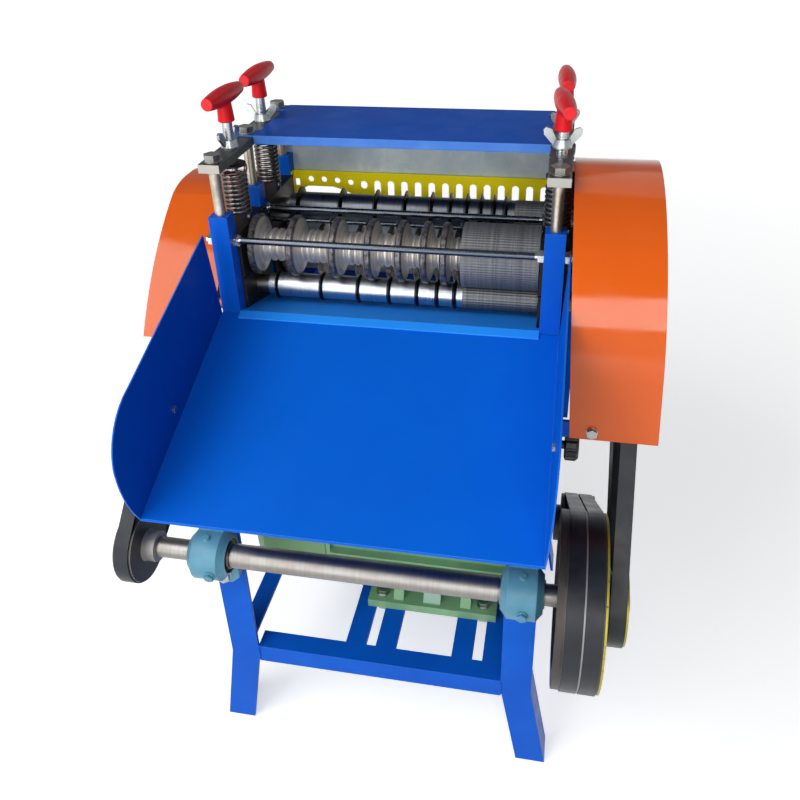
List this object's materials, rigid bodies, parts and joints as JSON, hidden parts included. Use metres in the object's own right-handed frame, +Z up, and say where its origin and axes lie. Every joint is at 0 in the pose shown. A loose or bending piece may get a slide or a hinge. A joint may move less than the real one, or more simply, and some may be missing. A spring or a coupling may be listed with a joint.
{
  "type": "electric wire stripping machine",
  "caption": "Bench-height cable stripper: spring-loaded slitting and grooved rollers over a sloped discharge tray, belt-driven by a motor in a splayed angle-iron stand.",
  "frame": {"origin": "centre of the machine's overall box in plan, on the floor plane under the feet", "axes": "+Z up, +Y from the discharge tray towards the wire feed side, +X along the rollers to the side with the large belt cover"},
  "size_m": [0.6048, 0.5502, 0.8309],
  "materials": {
    "blue_paint": "smooth semi-gloss blue paint on sheet and angle iron",
    "orange_paint": "smooth glossy orange paint",
    "teal_paint": "teal paint over cast iron",
    "green_paint": "light green machine enamel over castings",
    "yellow_paint": "yellow paint on sheet",
    "red_plastic": "glossy red moulded plastic",
    "black_plastic": "matt black moulded plastic",
    "turned_steel": "turned bright steel",
    "knurled_steel": "fluted and oiled steel",
    "hardened_steel": "dark hardened tool steel",
    "dark_steel": "black oxide steel, oiled",
    "zinc_steel": "bright zinc plate",
    "galvanised": "galvanised sheet with faint spangle",
    "spring_steel": "lacquered spring wire, brown",
    "cast_steel": "machined cast iron",
    "belt_rubber": "black belt rubber with a cloth face"
  },
  "bodies": {
    "root": {"legs": "blue_paint", "stand_frame": "blue_paint", "side_frame_left": "blue_paint", "side_frame_right": "blue_paint", "bridge_bars": "dark_steel", "bridge_bolts": "zinc_steel", "tie_rods": "dark_steel", "top_cover": "blue_paint", "feed_comb": "yellow_paint", "rear_panel": "galvanised", "front_apron": "blue_paint", "discharge_tray": "blue_paint", "belt_cover_left": "orange_paint", "belt_cover_right": "orange_paint", "fasteners": "zinc_steel", "pillow_blocks": "teal_paint", "motor_housing": "green_paint", "motor_fan_cover": "green_paint", "motor_terminal_box": "green_paint", "motor_belts": "belt_rubber", "right_belt": "belt_rubber", "left_belt": "belt_rubber", "lower_bearing_blocks": "dark_steel"},
    "clamp_knob": {"tray_clamp_knob": "black_plastic"},
    "jackshaft": {"jackshaft": "turned_steel", "jackshaft_pulleys": "cast_steel"},
    "motor_rotor": {"motor_shaft": "turned_steel", "motor_pulley": "cast_steel"},
    "front_lower_roller": {"front_lower_shaft": "turned_steel", "front_lower_sleeves": "turned_steel", "front_slitting_blades": "hardened_steel", "right_large_pulley": "cast_steel"},
    "rear_lower_roller": {"rear_lower_shaft": "turned_steel", "rear_grooved_wheels": "turned_steel", "left_large_pulley": "cast_steel"},
    "front_carriage": {"front_carriages": "dark_steel", "front_springs": "spring_steel"},
    "front_upper_roller": {"front_upper_shaft": "turned_steel", "front_grooved_wheels": "turned_steel"},
    "rear_carriage": {"rear_carriages": "dark_steel", "rear_springs": "spring_steel"},
    "rear_upper_roller": {"rear_upper_shaft": "turned_steel", "rear_upper_sleeves": "knurled_steel", "rear_slitting_blades": "hardened_steel"},
    "spring_seat_fl": {"spring_seat_fl": "dark_steel"},
    "pressure_screw_fl": {"pressure_screw_fl": "zinc_steel", "tee_grip_fl": "red_plastic"},
    "wing_nut_fl": {"wing_nut_fl": "zinc_steel"},
    "spring_seat_rl": {"spring_seat_rl": "dark_steel"},
    "pressure_screw_rl": {"pressure_screw_rl": "zinc_steel", "tee_grip_rl": "red_plastic"},
    "wing_nut_rl": {"wing_nut_rl": "zinc_steel"},
    "spring_seat_fr": {"spring_seat_fr": "dark_steel"},
    "pressure_screw_fr": {"pressure_screw_fr": "zinc_steel", "tee_grip_fr": "red_plastic"},
    "wing_nut_fr": {"wing_nut_fr": "zinc_steel"},
    "spring_seat_rr": {"spring_seat_rr": "dark_steel"},
    "pressure_screw_rr": {"pressure_screw_rr": "zinc_steel", "tee_grip_rr": "red_plastic"},
    "wing_nut_rr": {"wing_nut_rr": "zinc_steel"}
  },
  "joints": [
    {"name": "jackshaft_spin", "type": "hinge", "parent": "root", "child": "jackshaft", "pos_m": [-0.00487, -0.1667, 0.3473], "axis": [1, 0, 0], "continuous": true},
    {"name": "motor_spin", "type": "hinge", "parent": "root", "child": "motor_rotor", "pos_m": [-0.00487, 0.0504, 0.252], "axis": [1, 0, 0], "continuous": true},
    {"name": "front_lower_spin", "type": "hinge", "parent": "root", "child": "front_lower_roller", "pos_m": [-0.00487, 0.0611, 0.588], "axis": [1, 0, 0], "continuous": true},
    {"name": "rear_lower_spin", "type": "hinge", "parent": "root", "child": "rear_lower_roller", "pos_m": [-0.00487, 0.1719, 0.588], "axis": [1, 0, 0], "continuous": true},
    {"name": "front_carriage_lift", "type": "slide", "parent": "root", "child": "front_carriage", "axis": [0, 0, 1], "range_m": [0, 0.02], "stiffness_N_per_m": 38000, "springref_m": -0.008, "deforming": ["front_springs"]},
    {"name": "rear_carriage_lift", "type": "slide", "parent": "root", "child": "rear_carriage", "axis": [0, 0, 1], "range_m": [0, 0.02], "stiffness_N_per_m": 38000, "springref_m": -0.008, "deforming": ["rear_springs"]},
    {"name": "front_upper_spin", "type": "hinge", "parent": "front_carriage", "child": "front_upper_roller", "pos_m": [-0.00487, 0.0611, 0.642], "axis": [1, 0, 0], "continuous": true},
    {"name": "rear_upper_spin", "type": "hinge", "parent": "rear_carriage", "child": "rear_upper_roller", "pos_m": [-0.00487, 0.1719, 0.648], "axis": [1, 0, 0], "continuous": true},
    {"name": "seat_fl_travel", "type": "slide", "parent": "root", "child": "spring_seat_fl", "axis": [0, 0, 1], "range_m": [0, 0.007]},
    {"name": "screw_fl_turn", "type": "hinge", "parent": "spring_seat_fl", "child": "pressure_screw_fl", "pos_m": [-0.19367, 0.0611, 0.79], "axis": [0, 0, 1], "range_deg": [0, 1440]},
    {"name": "wing_nut_fl_turn", "type": "hinge", "parent": "pressure_screw_fl", "child": "wing_nut_fl", "pos_m": [-0.19367, 0.0611, 0.765], "axis": [0, 0, 1], "range_deg": [0, 180]},
    {"name": "seat_rl_travel", "type": "slide", "parent": "root", "child": "spring_seat_rl", "axis": [0, 0, 1], "range_m": [0, 0.007]},
    {"name": "screw_rl_turn", "type": "hinge", "parent": "spring_seat_rl", "child": "pressure_screw_rl", "pos_m": [-0.19367, 0.1719, 0.79], "axis": [0, 0, 1], "range_deg": [0, 1440]},
    {"name": "wing_nut_rl_turn", "type": "hinge", "parent": "pressure_screw_rl", "child": "wing_nut_rl", "pos_m": [-0.19367, 0.1719, 0.765], "axis": [0, 0, 1], "range_deg": [0, 180]},
    {"name": "seat_fr_travel", "type": "slide", "parent": "root", "child": "spring_seat_fr", "axis": [0, 0, 1], "range_m": [0, 0.007]},
    {"name": "screw_fr_turn", "type": "hinge", "parent": "spring_seat_fr", "child": "pressure_screw_fr", "pos_m": [0.18393, 0.0611, 0.79], "axis": [0, 0, 1], "range_deg": [0, 1440]},
    {"name": "wing_nut_fr_turn", "type": "hinge", "parent": "pressure_screw_fr", "child": "wing_nut_fr", "pos_m": [0.18393, 0.0611, 0.765], "axis": [0, 0, 1], "range_deg": [0, 180]},
    {"name": "seat_rr_travel", "type": "slide", "parent": "root", "child": "spring_seat_rr", "axis": [0, 0, 1], "range_m": [0, 0.007]},
    {"name": "screw_rr_turn", "type": "hinge", "parent": "spring_seat_rr", "child": "pressure_screw_rr", "pos_m": [0.18393, 0.1719, 0.79], "axis": [0, 0, 1], "range_deg": [0, 1440]},
    {"name": "wing_nut_rr_turn", "type": "hinge", "parent": "pressure_screw_rr", "child": "wing_nut_rr", "pos_m": [0.18393, 0.1719, 0.765], "axis": [0, 0, 1], "range_deg": [0, 180]},
    {"name": "clamp_knob_turn", "type": "hinge", "parent": "root", "child": "clamp_knob", "pos_m": [0.20113, -0.0891, 0.4933], "axis": [1, 0, 0], "range_deg": [0, 360]}
  ],
  "couplings": [
    {"joint": "motor_spin", "follows": "jackshaft_spin", "ratio": 2.3984},
    {"joint": "front_lower_spin", "follows": "jackshaft_spin", "ratio": 0.46007},
    {"joint": "rear_lower_spin", "follows": "jackshaft_spin", "ratio": 0.46007},
    {"joint": "front_upper_spin", "follows": "jackshaft_spin", "ratio": -0.18766},
    {"joint": "rear_upper_spin", "follows": "jackshaft_spin", "ratio": -0.90863},
    {"joint": "screw_fl_turn", "follows": "seat_fl_travel", "rad_per_m": 3590.4},
    {"joint": "screw_rl_turn", "follows": "seat_rl_travel", "rad_per_m": 3590.4},
    {"joint": "screw_fr_turn", "follows": "seat_fr_travel", "rad_per_m": 3590.4},
    {"joint": "screw_rr_turn", "follows": "seat_rr_travel", "rad_per_m": 3590.4}
  ]
}
